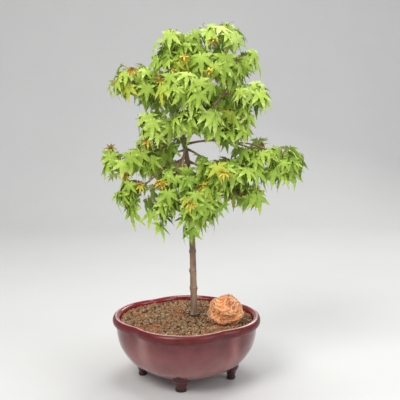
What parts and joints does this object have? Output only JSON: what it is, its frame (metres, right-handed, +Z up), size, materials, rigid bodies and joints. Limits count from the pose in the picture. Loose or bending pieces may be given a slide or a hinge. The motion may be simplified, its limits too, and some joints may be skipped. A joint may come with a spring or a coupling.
{
  "type": "potted japanese maple bonsai",
  "caption": "Young japanese maple bonsai with airy bright green leaves, in a round lobed oxblood glazed bowl on feet, with gritty soil and a rough stone beside the trunk.",
  "frame": {"origin": "middle of the whole plant's footprint, on the plane of the four feet; the pot's middle lies 27 mm to -X of it, because the crown reaches further to +X", "axes": "+Z up; the plant's front, which the picture shows, looks along -Y, with its longest low bough reaching to +X"},
  "size_m": [0.334, 0.2414, 0.5759],
  "materials": {
    "glaze": "oxblood gloss glaze that thins to mauve on the body",
    "soil": "loose gritty grains in tan, rust, olive and near-black",
    "stone": "rough and pitted, orange with cream edges",
    "bark": "smooth young bark with rings at the old leaf joints",
    "foliage": "soft fresh lime green leaves on pink stalks"
  },
  "bodies": {
    "root": {"pot": "glaze", "soil": "soil", "stone": "stone", "trunk": "bark", "bough_right_fork": "bark", "bough_apex_right": "bark", "leaves_apex_right": "foliage", "bough_apex_left": "bark", "leaves_apex_left": "foliage", "bough_crown_left": "bark", "leaves_crown_left": "foliage", "bough_crown_front": "bark", "leaves_crown_front": "foliage", "bough_crown_inner_right": "bark", "leaves_crown_inner_right": "foliage", "bough_crown_right": "bark", "leaves_crown_right": "foliage", "bough_right_middle": "bark", "leaves_right_middle": "foliage", "bough_dome_low_front": "bark", "leaves_dome_low_front": "foliage", "bough_dome_low_right": "bark", "leaves_dome_low_right": "foliage", "bough_dome_low_left": "bark", "leaves_dome_low_left": "foliage", "bough_crown_back": "bark", "leaves_crown_back": "foliage", "bough_crown_back_left": "bark", "leaves_crown_back_left": "foliage", "bough_crown_back_right": "bark", "leaves_crown_back_right": "foliage", "bough_left_middle": "bark", "leaves_left_middle": "foliage", "bough_far_left": "bark", "leaves_far_left": "foliage", "bough_left_low": "bark", "leaves_left_low": "foliage", "bough_front_left_low": "bark", "leaves_front_left_low": "foliage", "bough_front_middle": "bark", "leaves_front_middle": "foliage", "bough_front_low": "bark", "leaves_front_low": "foliage", "bough_right_low": "bark", "leaves_right_low": "foliage", "bough_right_low_tip": "bark", "leaves_right_low_tip": "foliage", "bough_far_right": "bark", "leaves_far_right": "foliage", "bough_far_right_tip": "bark", "leaves_far_right_tip": "foliage", "bough_back_left_low": "bark", "leaves_back_left_low": "foliage", "bough_back_right_low": "bark", "leaves_back_right_low": "foliage"}
  },
  "joints": []
}
